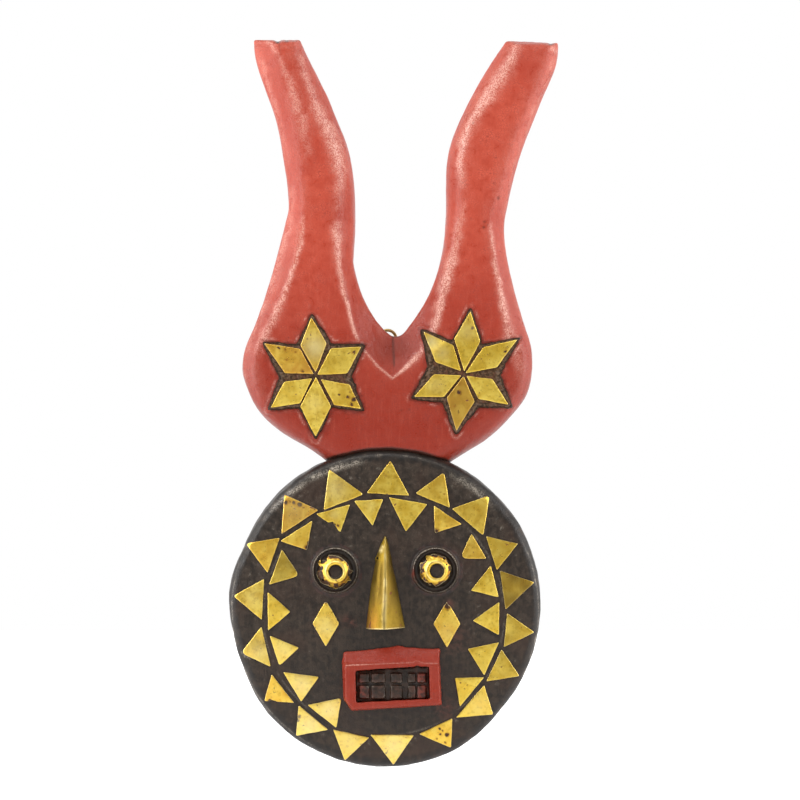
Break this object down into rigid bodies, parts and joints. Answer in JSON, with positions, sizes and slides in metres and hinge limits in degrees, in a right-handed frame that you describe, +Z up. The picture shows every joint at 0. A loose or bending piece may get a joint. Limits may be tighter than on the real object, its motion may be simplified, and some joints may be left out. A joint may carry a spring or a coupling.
{
  "type": "horned wall mask",
  "caption": "Tall wall mask: round dished face with rings of metal triangles, dome eyes, half-cone nose and toothed mouth under a pair of bevelled horns; hangs from a small ring.",
  "frame": {"origin": "on the wall plane, straight behind the inner top of the hanging ring, where the picture nail stands", "axes": "+Z up along the mask's height, -Y the way the face looks, so +Y points into the wall, +X to the viewer's right"},
  "size_m": [0.2317, 0.0645, 0.5102],
  "materials": {
    "stained_wood": "dark brown-grey stain, satin",
    "red_paint": "red paint, semi-gloss, worn pink on the ridges",
    "mastic": "dark mastic, matte",
    "brass": "cut sheet, brushed, tarnished in spots",
    "hanger_brass": "dull browned brass",
    "nail_steel": "dull steel"
  },
  "bodies": {
    "mask": {"cheek_diamond_left": "brass", "cheek_diamond_right": "brass", "eye_cap_left": "brass", "eye_cap_right": "brass", "face_disc": "stained_wood", "hanger_nails": "nail_steel", "hanger_strap": "hanger_brass", "horn_headpiece": "red_paint", "inner_plate_01": "brass", "inner_plate_02": "brass", "inner_plate_03": "brass", "inner_plate_04": "brass", "inner_plate_05": "brass", "inner_plate_06": "brass", "inner_plate_07": "brass", "inner_plate_08": "brass", "inner_plate_09": "brass", "inner_plate_10": "brass", "inner_plate_11": "brass", "inner_plate_12": "brass", "inner_plate_13": "brass", "inner_plate_14": "brass", "inner_plate_15": "brass", "mouth_frame": "red_paint", "nose": "brass", "outer_plate_01": "brass", "outer_plate_02": "brass", "outer_plate_03": "brass", "outer_plate_04": "brass", "outer_plate_05": "brass", "outer_plate_06": "brass", "outer_plate_07": "brass", "outer_plate_08": "brass", "outer_plate_09": "brass", "outer_plate_10": "brass", "outer_plate_11": "brass", "outer_plate_12": "brass", "outer_plate_13": "brass", "outer_plate_14": "brass", "outer_plate_15": "brass", "outer_plate_16": "brass", "outer_plate_17": "brass", "outer_plate_18": "brass", "star_bed_left": "mastic", "star_bed_right": "mastic", "star_left_ray_1": "brass", "star_left_ray_2": "brass", "star_left_ray_3": "brass", "star_left_ray_4": "brass", "star_left_ray_5": "brass", "star_left_ray_6": "brass", "star_right_ray_1": "brass", "star_right_ray_2": "brass", "star_right_ray_3": "brass", "star_right_ray_4": "brass", "star_right_ray_5": "brass", "star_right_ray_6": "brass", "teeth": "stained_wood"},
    "ring": {"hanging_ring": "hanger_brass"}
  },
  "joints": [
    {"name": "ring_swing", "type": "hinge", "parent": "mask", "child": "ring", "pos_m": [0, -0.00405, -0.012], "axis": [-1, 0, 0], "range_deg": [0, 175]}
  ]
}
